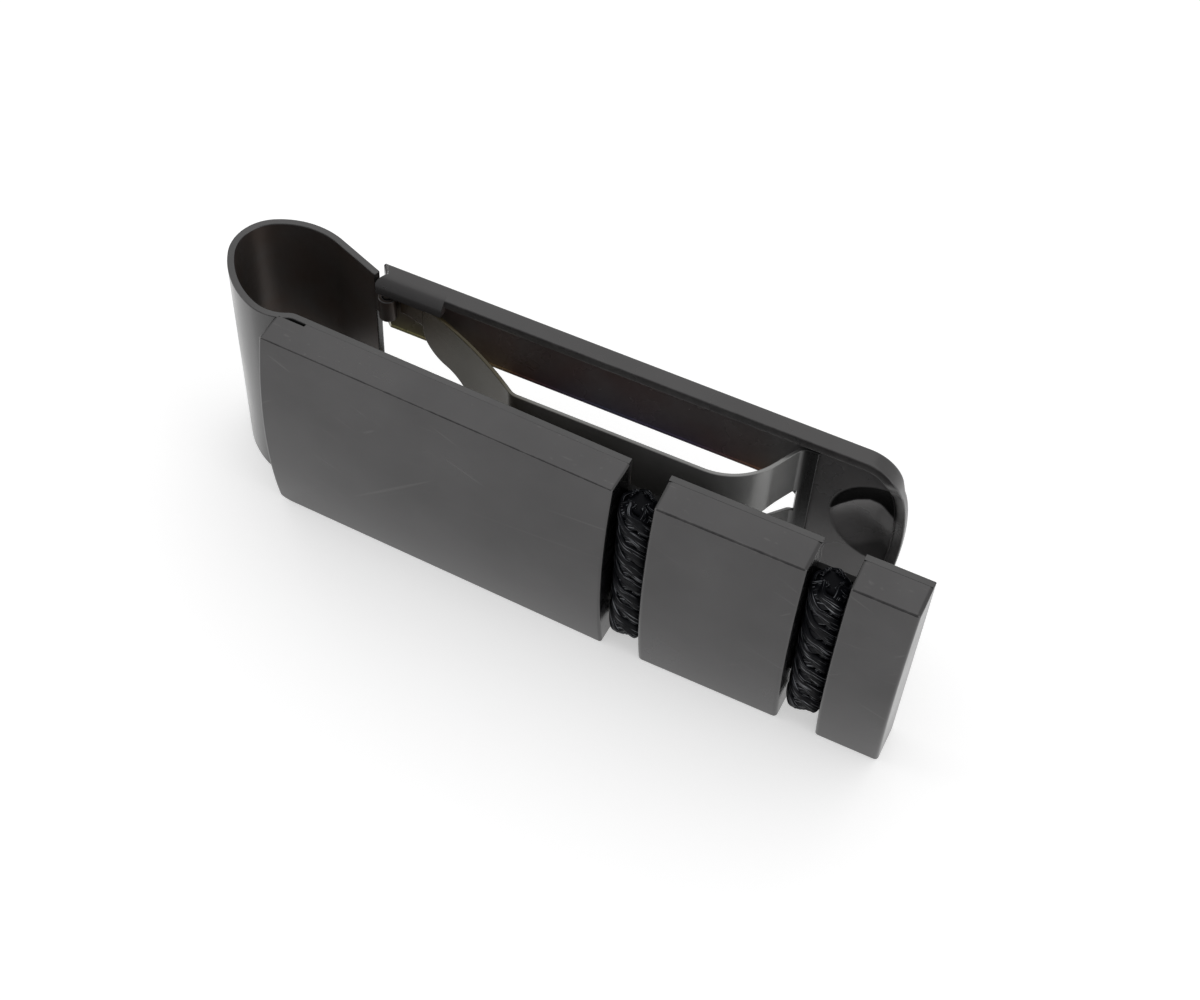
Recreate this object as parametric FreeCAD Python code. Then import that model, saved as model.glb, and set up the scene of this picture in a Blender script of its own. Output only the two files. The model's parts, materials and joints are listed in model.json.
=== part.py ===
"""Hinged spring clip for banknotes, black plated steel with two braided cord inlays.

The clip stands on its long lower edge: X runs along the clip, Y from the front bar to the
spring arm at the back, and Z across its width. All sizes are millimetres and degrees.
While it is drawn, x = 0 is the left end of the long cover and y = 0 is the front edge line
of the covers. At the end everything moves together, so that the origin is the middle of the
whole clip's box, on the face it stands on.
"""
import FreeCAD
import Part
import math
import os

V = FreeCAD.Vector
UP = V(0, 0, 1)

# Overall
clip_width = 19.7            # height Z of the standing clip
running_gap = 0.1            # air between pieces that move past each other
seat_gap = 0.03              # air between parts that only rest on each other

# Front bar: three solid covers with a cord groove between neighbours
long_cover_length = 29.0
middle_cover_length = 11.6
end_cover_length = 5.1
groove_width = 3.1
cover_depth = 2.7            # from the front edge line to the back face
cover_bow = 1.0              # how far the front face swells out between its two edges
front_bend = 1.5             # the bar turns this much in the middle of the first groove
rebate_length = 2.4          # slot behind the long cover's left end, where the band leaves it
rebate_depth = 0.25
long_cover_corner = 1.0      # rounded lower left corner of the long cover
end_cover_round = 0.4        # rounding of the end cover's outer front edge

# Spring band: one strip that backs the covers and turns round the loop
band_thickness = 0.55
band_flat_start = 1.4        # x where the band starts to bend away from the bar
loop_bends = [(1.25, -30.0), (3.5, 49.0), (7.25, 44.0), (3.3, 84.0), (6.2, 52.0)]
back_leg_length = 4.3        # flat from the last bend to the band's full width end
neck_margin = 3.0            # the band is this much narrower at each edge behind a groove
ear_reach = 0.95             # from the band's end to the hinge line
ear_low = 15.7               # height of the upper ear's lower face
ear_height = 2.2
eye_wall = 0.3

# Hinge pins: one in each rail of the arm
pin_radius = 0.35
pin_clearance = 0.05
pin_tail = 0.2               # end that stands out of the eye
pin_cover = 0.45             # metal left above the blind pin hole

# Spring arm: shallow channel with an open window and a rounded end
arm_rest_angle = 2.05        # the closed arm still stands this far open from the front bar
arm_opening = 22.0           # the hinge turns this far from rest
arm_sheet = 0.8
arm_flange_depth = 1.5       # whole depth of the channel, sheet included
arm_back = 1.6               # from the hinge line to the arm's outer face
arm_reach = 42.15            # from the hinge line to the tip
arm_corner_radius = 3.0
arm_end_radius = 30.0
arm_left_reach = 3.0         # stock left of the hinge line before its end is trimmed
window_width = 6.6
window_end = 34.4            # from the hinge line to the window's round end
lip_length = 5.9             # rolled lips at the hinge end
lip_left = 1.08              # they start this far left of the hinge line
lip_depth = 2.17             # from the arm's outer face to the lip's front
lip_roll_radius = 1.2
boss_radius = 0.85           # metal kept round each pin where the arm's end is trimmed

# Thumb dish at the arm's tip, pressed outwards
dish_centre = 40.7           # from the hinge line
dish_rise = 2.6              # centre above the clip's mid height
dish_radius = 4.3
dish_floor_radius = 2.5
dish_depth = 1.0
dish_mouth = 2.6             # half width of the gap that it leaves in the end wall

# Leaf spring: bowed strip whose ends bear on the two rails
leaf_thickness = 0.3
leaf_width = 16.8
leaf_bow = 5.1               # from its ends to the flat of the bow
leaf_left_angle = 14.0       # where the curved left ramp leaves the rails
leaf_left_steep = 34.0       # where it meets the bow
leaf_right_angle = 62.0
leaf_right_knee = 33.6       # from the hinge line to where the right ramp meets the rails
leaf_foot = 0.65
leaf_bridge = 1.15           # metal that joins the prongs at the foot's end
leaf_tongue_root = 5.6       # tongue left in the middle of the closed hole
leaf_tongue_tip = 2.0
leaf_tail_start = 0.8        # the narrow tails start this far right of the hinge line
leaf_tail_flat = 0.35
leaf_tail_width = 2.3
leaf_shoulder = 3.0          # from the hinge line to where the tails widen
leaf_bend_radius = 1.6
leaf_left_bow_radius = 1.2
leaf_bow_radius = 5.0
leaf_foot_radius = 1.0
leaf_notch_width = 7.0
leaf_left_notch = 8.6        # from the hinge line to the bottom of the left notch
leaf_right_notch = 31.6      # to the left end of the closed hole at the right
leaf_notch_corner = 1.2

# Braided cords
cord_recess = 0.0            # from the front edge line to the cord's front
cord_end_margin = 1.5
cord_side_gap = 0.12

# Worked out from the sizes above
mid_z = clip_width / 2.0
band_line = cover_depth + band_thickness / 2.0
bar_bend_x = long_cover_length + groove_width / 2.0
middle_start = long_cover_length + groove_width
middle_end = middle_start + middle_cover_length
end_start = middle_end + groove_width
bar_end = end_start + end_cover_length
ear_mid = ear_low + ear_height / 2.0
eye_radius = pin_radius + pin_clearance + eye_wall


def direction(angle):
    """Unit vector in plan at an angle from +X."""
    return V(math.cos(math.radians(angle)), math.sin(math.radians(angle)), 0)


def flat(length):
    """A straight stretch of strip."""
    return ("flat", length, 0.0)


def bend(radius, angle):
    """A bend; a positive angle turns clockwise in plan."""
    return ("bend", radius, angle)


def walk(start, heading, moves):
    """Where a strip's middle line ends, and its heading there."""
    for kind, size, angle in moves:
        if kind == "flat":
            start = start + direction(heading) * size
        else:
            side = 1.0 if angle > 0 else -1.0
            centre = start + direction(heading - 90.0 * side) * size
            heading = heading - angle
            start = centre + direction(heading + 90.0 * side) * size
    return start, heading


def strip(start, heading, moves, thickness, low, high):
    """Sheet strip that stands on edge: its middle line in plan is flats and bends."""
    half = thickness / 2.0
    sides = {1: [], -1: []}
    ends = [(start, heading)]
    for move in moves:
        before, turn = ends[-1]
        after, new_turn = walk(before, turn, [move])
        half_move = (move[0], move[1] / 2.0, 0.0) if move[0] == "flat" else (
            move[0], move[1], move[2] / 2.0)
        middle, mid_turn = walk(before, turn, [half_move])
        for side in (1, -1):
            a = before + direction(turn + 90.0 * side) * half
            b = middle + direction(mid_turn + 90.0 * side) * half
            c = after + direction(new_turn + 90.0 * side) * half
            edge = Part.LineSegment(a, c) if move[0] == "flat" else Part.Arc(a, b, c)
            sides[side].append(edge.toShape())
        ends.append((after, new_turn))
    first, turn = ends[0]
    last, last_turn = ends[-1]
    cap_a = Part.LineSegment(first + direction(turn + 90.0) * half,
                             first + direction(turn - 90.0) * half).toShape()
    cap_b = Part.LineSegment(last + direction(last_turn + 90.0) * half,
                             last + direction(last_turn - 90.0) * half).toShape()
    edges = sides[1] + [cap_b] + sides[-1] + [cap_a]
    wire = Part.Wire(Part.__sortEdges__(edges))
    face = Part.Face(wire)
    face.translate(V(0, 0, low))
    return face.extrude(UP * (high - low))


def block(x0, x1, y0, y1, z0, z1):
    """Box between two corners."""
    return Part.makeBox(x1 - x0, y1 - y0, z1 - z0, V(x0, y0, z0))


def both_edges(shape):
    """A shape and its copy mirrored across the clip's middle plane."""
    return [shape, shape.mirror(V(0, 0, mid_z), UP)]


def turned_with_bar(shape):
    """Turn a shape that lies beyond the first groove with the bar."""
    shape.rotate(V(bar_bend_x, 0, 0), UP, front_bend)
    return shape


# Front bar
def cover(left, length):
    """Solid cover: flat back, square edges and a front face that swells across its width."""
    crown = Part.Arc(V(left, 0, 0), V(left, -cover_bow, mid_z), V(left, 0, clip_width))
    corners = [V(left, 0, clip_width), V(left, cover_depth, clip_width),
               V(left, cover_depth, 0), V(left, 0, 0)]
    edges = [crown.toShape()]
    for a, b in zip(corners, corners[1:]):
        edges.append(Part.LineSegment(a, b).toShape())
    return Part.Face(Part.Wire(edges)).extrude(V(length, 0, 0))


def make_long_cover():
    """Long cover with a slot behind its left end and a rounded lower left corner."""
    body = cover(0.0, long_cover_length)
    slot = block(-1.0, rebate_length, cover_depth - rebate_depth, cover_depth + 1.0,
                 -1.0, clip_width + 1.0)
    body = body.cut(slot)
    corner = block(-1.0, long_cover_corner, -2.0 * cover_bow, cover_depth + 1.0,
                   -1.0, long_cover_corner)
    rounding = Part.makeCylinder(long_cover_corner, cover_depth + 4.0 * cover_bow,
                                 V(long_cover_corner, -2.0 * cover_bow - 1.0,
                                   long_cover_corner), V(0, 1, 0))
    band_room = strip(V(band_flat_start, band_line, 0), 180.0, loop_moves(),
                      band_thickness + 2.0 * running_gap, 0.0, clip_width)
    return body.cut(corner.cut(rounding)).cut(band_room)


def make_middle_cover():
    """Middle cover."""
    return turned_with_bar(cover(middle_start, middle_cover_length))


def make_end_cover():
    """End cover, rounded down its outer front edge."""
    body = cover(end_start, end_cover_length)
    outer_front = [e for e in body.Edges
                   if abs(e.BoundBox.XMin - bar_end) < 0.01 and e.BoundBox.YMin < -0.5 * cover_bow]
    return turned_with_bar(body.makeFillet(end_cover_round, outer_front))


def make_cord(left):
    """Braided cord in a groove, as one plain rounded bar between the covers."""
    low = cord_end_margin
    high = clip_width - cord_end_margin
    body = block(left + cord_side_gap, left + groove_width - cord_side_gap,
                 cord_recess, cover_depth - seat_gap, low, high)
    fronts = [e for e in body.Edges
              if abs(e.CenterOfMass.y - cord_recess) < 0.01
              and abs(e.CenterOfMass.z - mid_z) < 0.01]
    return body.makeFillet((cover_depth - cord_recess) / 2.2, fronts)


def make_left_cord():
    """Cord between the long and middle covers; half of its groove is past the bar's bend."""
    return make_cord(long_cover_length)


def make_right_cord():
    """Cord between the middle and end covers."""
    return turned_with_bar(make_cord(middle_end))


# Spring band
def loop_moves():
    """The band from behind the long cover's left end, round the loop, to its back end."""
    return [bend(r, a) for r, a in loop_bends] + [flat(back_leg_length)]


band_end, band_end_heading = walk(V(band_flat_start, band_line, 0), 180.0, loop_moves())
hinge = band_end + direction(band_end_heading) * ear_reach


def make_band():
    """Strip behind the covers with narrow necks at the grooves, the loop and two ears."""
    body = strip(V(bar_bend_x, band_line, 0), 180.0,
                 [flat(bar_bend_x - band_flat_start)] + loop_moves(),
                 band_thickness, 0.0, clip_width)
    tail = turned_with_bar(block(bar_bend_x, bar_end, cover_depth,
                                 cover_depth + band_thickness, 0.0, clip_width))
    body = body.fuse(tail)
    for low, high in ((-1.0, neck_margin), (clip_width - neck_margin, clip_width + 1.0)):
        notch = block(long_cover_length, middle_start, 0.0, 2.0 * cover_depth, low, high)
        body = body.cut(notch)
        notch = block(middle_end, end_start, 0.0, 2.0 * cover_depth, low, high)
        body = body.cut(turned_with_bar(notch))
    for ear in both_edges(make_ear()):
        body = body.fuse(ear)
    for bore in both_edges(Part.makeCylinder(pin_radius + pin_clearance, 2.0 * ear_height,
                                             V(hinge.x, hinge.y, ear_mid - ear_height))):
        body = body.cut(bore)
    return body.removeSplitter()


def make_ear():
    """Upper ear: a tab on the band's end with a round eye for the hinge pin."""
    overlap = 0.2
    start = band_end - direction(band_end_heading) * overlap
    tab = strip(start, band_end_heading, [flat(overlap + ear_reach)], band_thickness,
                ear_low, ear_low + ear_height)
    eye = Part.makeCylinder(eye_radius, ear_height, V(hinge.x, hinge.y, ear_low))
    return tab.fuse(eye)


# Spring arm, drawn with the hinge line at x = y = 0 and then set on the hinge
def placed_on_hinge(shape):
    """Move a shape drawn about the hinge line to its place at rest."""
    shape.rotate(V(0, 0, 0), UP, arm_rest_angle)
    shape.translate(V(hinge.x, hinge.y, 0))
    return shape


def end_outline(inset, y):
    """The arm's outline seen from behind: straight edges, round corners and a bowed tip."""
    top = clip_width - inset
    bottom = inset
    tip = arm_reach - inset
    corner = arm_corner_radius - inset
    bulge = arm_end_radius - inset
    bulge_x = tip - bulge
    corner_z = mid_z + (top - mid_z) - corner
    rise = corner_z - mid_z
    corner_x = bulge_x + math.sqrt((bulge - corner) ** 2 - rise ** 2)
    meet = math.atan2(rise, corner_x - bulge_x)
    half_way = (meet + math.pi / 2.0) / 2.0
    touch = V(bulge_x + bulge * math.cos(meet), y, mid_z + bulge * math.sin(meet))
    on_corner = V(corner_x + corner * math.cos(half_way), y,
                  corner_z + corner * math.sin(half_way))
    above = V(corner_x, y, top)

    def below(p):
        return V(p.x, p.y, clip_width - p.z)

    left = -arm_left_reach
    edges = [Part.LineSegment(V(left, y, bottom), below(above)),
             Part.Arc(below(above), below(on_corner), below(touch)),
             Part.Arc(below(touch), V(tip, y, mid_z), touch),
             Part.Arc(touch, on_corner, above),
             Part.LineSegment(above, V(left, y, top)),
             Part.LineSegment(V(left, y, top), V(left, y, bottom))]
    return Part.Face(Part.Wire([e.toShape() for e in edges]))


def outline_prism(inset, y0, y1):
    """The outline carried from y0 to y1."""
    return end_outline(inset, y0).extrude(V(0, y1 - y0, 0))


def make_window():
    """Long window, open at the hinge end and round at the other."""
    radius = window_width / 2.0
    reach = 2.0 * arm_back
    low = mid_z - radius
    slot = block(-arm_left_reach - 1.0, window_end - radius, -reach, reach,
                 low, low + window_width)
    end = Part.makeCylinder(radius, 2.0 * reach, V(window_end - radius, -reach, mid_z),
                            V(0, 1, 0))
    return slot.fuse(end)


def make_lip():
    """Upper lip: the flange is rolled down through a quarter turn at the hinge end."""
    front = arm_back - lip_depth
    y = front + lip_roll_radius
    z = clip_width - lip_roll_radius
    inner = lip_roll_radius - arm_sheet
    x = -lip_left
    s = math.sqrt(0.5)
    edges = [Part.Arc(V(x, y, z + lip_roll_radius),
                      V(x, y - lip_roll_radius * s, z + lip_roll_radius * s),
                      V(x, y - lip_roll_radius, z)),
             Part.LineSegment(V(x, y - lip_roll_radius, z), V(x, y - inner, z)),
             Part.Arc(V(x, y - inner, z), V(x, y - inner * s, z + inner * s),
                      V(x, y, z + inner)),
             Part.LineSegment(V(x, y, z + inner), V(x, y, z + lip_roll_radius))]
    roll = Part.Face(Part.Wire([e.toShape() for e in edges])).extrude(V(lip_length, 0, 0))
    return roll, y


def make_dish():
    """Pressed dish: what stands out behind the sheet, and what is cut from its front."""
    inner_face = arm_back - arm_sheet
    wall = arm_sheet * 0.75
    pad = Part.makeCone(dish_radius + wall, dish_floor_radius + wall, dish_depth,
                        V(dish_centre, arm_back, mid_z + dish_rise), V(0, 1, 0))
    pad = pad.common(outline_prism(0.0, arm_back, arm_back + dish_depth))
    hollow = Part.makeCone(dish_radius, dish_floor_radius, dish_depth,
                           V(dish_centre, inner_face, mid_z + dish_rise), V(0, 1, 0))
    mouth = Part.makeCylinder(dish_mouth, arm_flange_depth,
                              V(dish_centre, inner_face - arm_flange_depth, mid_z + dish_rise),
                              V(0, 1, 0))
    return pad, hollow.fuse(mouth)


def left_end_trim():
    """What is cut off the arm's hinge end so that it clears the band when it opens."""
    clear = band_thickness / 2.0 + running_gap
    leg = band_end_heading + 180.0 - arm_rest_angle - arm_opening
    along = direction(leg)
    out = direction(leg - 90.0)
    start = out * clear - along * boss_radius
    far = out * clear + along * 4.0 * arm_back
    beyond = V(-2.0 * arm_left_reach, 0, 0)
    face = Part.Face(Part.makePolygon([start, far, far + beyond, V(beyond.x, -arm_back, 0),
                                       V(start.x, -arm_back, 0), start]))
    stock = face.extrude(UP * clip_width)
    return stock.cut(Part.makeCylinder(boss_radius, clip_width, V(0, 0, 0)))


def make_arm():
    """Channel with window, rolled lips, pin holes and thumb dish."""
    inner_face = arm_back - arm_sheet
    flange_front = arm_back - arm_flange_depth
    body = outline_prism(0.0, flange_front, arm_back)
    body = body.cut(outline_prism(arm_sheet, flange_front - 1.0, inner_face))
    body = body.cut(block(-arm_left_reach - 1.0, 0.0, flange_front - 1.0, inner_face,
                          arm_sheet, clip_width - arm_sheet))
    pad, hollow = make_dish()
    body = body.fuse(pad).cut(hollow)
    body = body.cut(make_window())
    roll, roll_y = make_lip()
    square = block(-arm_left_reach, lip_length - lip_left, flange_front - 1.0, roll_y,
                   clip_width - arm_sheet, clip_width)
    for old, new in zip(both_edges(square), both_edges(roll)):
        body = body.cut(old).fuse(new)
    body = body.cut(left_end_trim())
    top = clip_width - pin_cover
    for hole in both_edges(Part.makeCylinder(pin_radius, top - mid_z, V(0, 0, mid_z))):
        body = body.cut(hole)
    return placed_on_hinge(body.removeSplitter())


def make_upper_pin():
    """Plain pin through the upper ear's eye into the blind hole of the upper lip."""
    low = ear_low - pin_tail
    return Part.makeCylinder(pin_radius, clip_width - pin_cover - low,
                             V(hinge.x, hinge.y, low))


def make_lower_pin():
    """The same pin at the lower edge."""
    return make_upper_pin().mirror(V(0, 0, mid_z), UP)


# Leaf spring
def rounded_notch(x0, x1, width, corner):
    """Slot along the leaf with two round corners at its closed end x1."""
    side = 1.0 if x1 > x0 else -1.0
    low = mid_z - width / 2.0
    reach = 3.0 * leaf_bow
    body = block(min(x0, x1 - side * corner), max(x0, x1 - side * corner), -reach, reach,
                 low, low + width)
    body = body.fuse(block(min(x1, x1 - side * corner), max(x1, x1 - side * corner),
                           -reach, reach, low + corner, low + width - corner))
    for z in (low + corner, low + width - corner):
        body = body.fuse(Part.makeCylinder(corner, 2.0 * reach,
                                           V(x1 - side * corner, -reach, z), V(0, 1, 0)))
    return body


def make_leaf():
    """Bowed strip with narrow tails near the lips and one foot at the window's end."""
    low_turn = math.radians(leaf_left_angle)
    high_turn = math.radians(leaf_left_steep)
    right_turn = math.radians(leaf_right_angle)
    bends_drop = (leaf_bend_radius * (1 - math.cos(low_turn))
                  + leaf_left_bow_radius * (1 - math.cos(high_turn)))
    ramp_radius = (leaf_bow - bends_drop) / (math.cos(low_turn) - math.cos(high_turn))
    bow_start = (leaf_tail_start + leaf_tail_flat + leaf_bend_radius * math.sin(low_turn)
                 + ramp_radius * (math.sin(high_turn) - math.sin(low_turn))
                 + leaf_left_bow_radius * math.sin(high_turn))
    half_turn = math.tan(right_turn / 2.0)
    bow_end = (leaf_right_knee - leaf_bow / math.tan(right_turn)
               - leaf_bow_radius * half_turn)
    moves = [flat(leaf_tail_flat),
             bend(leaf_bend_radius, leaf_left_angle),
             bend(ramp_radius, leaf_left_steep - leaf_left_angle),
             bend(leaf_left_bow_radius, -leaf_left_steep),
             flat(bow_end - bow_start),
             bend(leaf_bow_radius, -leaf_right_angle),
             flat(leaf_bow / math.sin(right_turn)
                  - (leaf_bow_radius + leaf_foot_radius) * half_turn),
             bend(leaf_foot_radius, leaf_right_angle),
             flat(leaf_foot)]
    rail_face = arm_back - arm_sheet - seat_gap
    low = mid_z - leaf_width / 2.0
    body = strip(V(leaf_tail_start, rail_face - leaf_thickness / 2.0, 0), 0.0, moves,
                 leaf_thickness, low, low + leaf_width)
    body = body.cut(rounded_notch(-leaf_left_notch, leaf_left_notch, leaf_notch_width,
                                  leaf_notch_corner))
    foot_end = leaf_right_knee + leaf_foot_radius * half_turn + leaf_foot
    hole = rounded_notch(foot_end - leaf_bridge, leaf_right_notch, leaf_notch_width,
                         leaf_notch_corner)
    corners = [V(x, -3.0 * leaf_bow, mid_z + side * size / 2.0) for x, side, size in (
        (leaf_right_notch, 1, leaf_tongue_root), (foot_end - leaf_bridge, 1, leaf_tongue_tip),
        (foot_end - leaf_bridge, -1, leaf_tongue_tip), (leaf_right_notch, -1, leaf_tongue_root))]
    tongue = Part.Face(Part.makePolygon(corners + corners[:1])).extrude(V(0, 6.0 * leaf_bow, 0))
    body = body.cut(hole.cut(tongue))
    between_tails = leaf_width - 2.0 * leaf_tail_width
    body = body.cut(block(-leaf_left_notch, leaf_shoulder, -leaf_bow, 2.0 * arm_back,
                          mid_z - between_tails / 2.0, mid_z + between_tails / 2.0))
    return placed_on_hinge(body.removeSplitter())


makers = {
    "long_cover": make_long_cover,
    "middle_cover": make_middle_cover,
    "end_cover": make_end_cover,
    "left_cord_inlay": make_left_cord,
    "right_cord_inlay": make_right_cord,
    "spring_band": make_band,
    "spring_arm": make_arm,
    "leaf_spring": make_leaf,
    "upper_hinge_pin": make_upper_pin,
    "lower_hinge_pin": make_lower_pin,
}
shapes = {name: make() for name, make in makers.items()}
box = Part.makeCompound(list(shapes.values())).optimalBoundingBox(False, False)
to_origin = V(-(box.XMin + box.XMax) / 2.0, -(box.YMin + box.YMax) / 2.0, -box.ZMin)

os.makedirs("parts", exist_ok=True)
for name, shape in shapes.items():
    shape.translate(to_origin)
    shape.exportStep("parts/" + name + ".step")
    print(name, shape.isValid(), len(shape.Solids), round(shape.Volume, 2))
print("moved by", [round(c, 4) for c in to_origin])
print("hinge line at", [round(c, 4) for c in hinge + to_origin])
print("whole size", [round(s, 3) for s in (box.XLength, box.YLength, box.ZLength)])
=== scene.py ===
# %% [markdown]
# # A hinged spring clip for banknotes
# The clip is black plated steel: three solid covers stand on one spring band, with a braided
# leather cord laid in each of the two grooves between them. The band turns round a loop and
# carries a hinged arm, and a bowed leaf spring in the arm presses the notes together.
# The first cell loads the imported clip. Its nodes stay where they are: every new surface is
# worked out in the same frame, and then stands for the node that it dresses.

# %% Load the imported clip
import json
import math

import bpy
import numpy as np
from mathutils import Matrix, Vector


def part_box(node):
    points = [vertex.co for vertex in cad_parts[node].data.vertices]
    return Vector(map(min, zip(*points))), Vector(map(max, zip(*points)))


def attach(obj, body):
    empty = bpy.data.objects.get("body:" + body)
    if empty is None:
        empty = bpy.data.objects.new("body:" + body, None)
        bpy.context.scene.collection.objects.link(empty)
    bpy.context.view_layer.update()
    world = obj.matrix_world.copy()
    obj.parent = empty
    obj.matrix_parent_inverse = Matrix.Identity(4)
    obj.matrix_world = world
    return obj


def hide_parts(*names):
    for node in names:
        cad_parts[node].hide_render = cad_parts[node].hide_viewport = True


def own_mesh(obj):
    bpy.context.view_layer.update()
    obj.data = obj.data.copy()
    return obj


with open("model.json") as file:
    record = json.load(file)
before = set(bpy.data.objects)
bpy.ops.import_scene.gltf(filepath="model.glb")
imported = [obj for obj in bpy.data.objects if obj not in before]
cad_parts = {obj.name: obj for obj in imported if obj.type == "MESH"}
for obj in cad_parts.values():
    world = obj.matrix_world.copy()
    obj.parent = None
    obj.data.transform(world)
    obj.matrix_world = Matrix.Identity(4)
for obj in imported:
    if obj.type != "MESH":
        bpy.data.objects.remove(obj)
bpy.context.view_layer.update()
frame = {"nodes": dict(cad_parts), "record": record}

print("packed nodes:", sorted(frame["nodes"]))

# %% [markdown]
# ## One drawing frame
# A maker would draw this clip in millimetres from the long cover's left end and from the
# covers' front edge line. That is handy here too, so shapes are worked out in those
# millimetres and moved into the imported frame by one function. The move is read from the
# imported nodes, so the new surfaces land exactly on them.

# %% Sizes and places
mm = 0.001
width = 19.7
middle = width / 2
cover_depth = 2.7
cover_bow = 1.0
band_thickness = 0.55
groove = 3.1
bar_turn = math.radians(1.5)

cover_low, cover_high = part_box("long_cover")
corner_of_bar = np.array([cover_low.x, cover_high.y - cover_depth * mm, 0.0]) / mm
long_length = (cover_high.x - cover_low.x) / mm
pin_low, pin_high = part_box("upper_hinge_pin")
hinge_joint = next(j for j in frame["record"]["behaviour"]["joints"] if j["name"] == "arm_hinge")
hinge = np.array(hinge_joint["pos_m"]) / mm - corner_of_bar
arm_rest = math.radians(2.05)
bar_turn_x = long_length + groove / 2
print("drawing frame starts at", corner_of_bar.round(3), "hinge line", hinge.round(3))


def placed(points):
    """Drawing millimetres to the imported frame's metres: add the frame's corner, then scale."""
    return (points + corner_of_bar) * mm


def turned(points, angle, x, y):
    """Turn points about the upright line through (x, y): the usual two by two rotation."""
    c, s = math.cos(angle), math.sin(angle)
    dx, dy = points[..., 0] - x, points[..., 1] - y
    return np.stack([x + c * dx - s * dy, y + s * dx + c * dy, points[..., 2]], -1)


def on_bar_end(points):
    """Beyond the first groove everything is turned a little, because the bar is slightly bent."""
    return turned(points, bar_turn, bar_turn_x, 0.0)


def on_hinge(points):
    """Arm pieces are drawn about the hinge line, then turned open and moved onto it."""
    moved = turned(points, arm_rest, 0.0, 0.0)
    return moved + np.array([hinge[0], hinge[1], 0.0])


# %% [markdown]
# ## Closed shells from rings
# Nearly every part of the clip is one outline carried along a line: a bar, a strip, a pin.
# So a shape here is a stack of closed rings in one array of ring, point and coordinate.
# Neighbouring rings are joined with four-sided faces and both ends are capped. Each point may
# carry marks, such as how near an edge it lies, which the finishes read later to wear the
# edges, to tint the inside and lighten it with painted light, and to paint shade and highlights.

# %% Rings to mesh
MARKS = ("edge", "inside", "rim", "shade")


def quads(rings, around, first, closed):
    """Faces between ring i and i + 1, and point j and j + 1, taken round each ring."""
    i = np.arange(rings if closed else rings - 1)[:, None]
    j = np.arange(around)[None, :]
    here = (i % rings) * around
    there = ((i + 1) % rings) * around
    after = (j + 1) % around
    corners = np.stack([here + j, here + after, there + after, there + j], -1)
    return first + corners.reshape(-1, 4)


def volume(points, faces):
    """Signed volume: the sum of the corner tetrahedra to the middle of the points."""
    p = points - points.mean(0)
    total = 0.0
    for a, b, c in ((0, 1, 2), (0, 2, 3)):
        total += np.einsum("ij,ij->i", p[faces[:, a]],
                           np.cross(p[faces[:, b]], p[faces[:, c]])).sum()
    return total / 6


def shell(rings, closed=False, fibre=None, zip_from=None, **marks):
    """One closed surface: its rings, whether the stack joins up with itself, and its marks. Its
    ends are flat caps, or are zipped up from one point where the end isn't flat."""
    made = {"rings": rings, "closed": closed, "fibre": fibre, "zip": zip_from}
    for name in MARKS:
        value = marks.get(name, 0.0)
        made[name] = np.broadcast_to(np.asarray(value, float), rings.shape[:2])
    return made


def cap(around, zip_from):
    """Faces across one ring. Zipped, they join point s - k to point s + k for k = 1, 2 and so on,
    so they follow a thin bent section whose ends don't lie in one plane."""
    if zip_from is None:
        return [list(range(around))]
    half = (around - 1) // 2
    k = np.arange(half)
    low, high = zip_from - k, zip_from + k
    rows = (np.stack([low - 1, low, high, high + 1], -1) % around).tolist()
    rows[0] = rows[0][:2] + rows[0][3:]
    if around % 2 == 0:
        last = np.array([zip_from - half - 1, zip_from - half, zip_from + half]) % around
        rows.append(last.tolist())
    return rows


def piece(name, shells, body, stands_for=(), crease=38):
    """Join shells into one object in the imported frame, and hang it on its body."""
    points, faces, first = [], [], 0
    for s in shells:
        count, around = s["rings"].shape[:2]
        flat = s["rings"].reshape(-1, 3)
        own = quads(count, around, first, s["closed"])
        turn = volume(flat, own - first) < 0
        own = own[:, ::-1] if turn else own
        faces += own.tolist()
        if not s["closed"]:
            for row in cap(around, s["zip"]):
                head = [first + i for i in row]
                tail = [first + (count - 1) * around + i for i in row]
                faces += [head, tail[::-1]] if turn else [head[::-1], tail]
        points.append(flat)
        first += len(flat)
    mesh = bpy.data.meshes.new(name)
    mesh.from_pydata(placed(np.concatenate(points)).tolist(), [], faces)
    for mark in MARKS:
        values = np.concatenate([s[mark].reshape(-1) for s in shells]).astype(np.float32)
        mesh.attributes.new(mark, "FLOAT", "POINT").data.foreach_set("value", values)
    fibres = [np.zeros((s["rings"][..., 0].size, 3)) if s["fibre"] is None
              else s["fibre"].reshape(-1, 3) for s in shells]
    vector = mesh.attributes.new("fibre", "FLOAT_VECTOR", "POINT")
    vector.data.foreach_set("vector", np.concatenate(fibres).astype(np.float32).reshape(-1))
    mesh.shade_smooth()
    mesh.set_sharp_from_angle(angle=math.radians(crease))
    made = bpy.data.objects.new(name, mesh)
    bpy.context.scene.collection.objects.link(made)
    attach(made, body)
    if stands_for:
        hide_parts(*stands_for)
    print(name, len(mesh.vertices), "points,", len(mesh.polygons), "faces")
    return made


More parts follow.
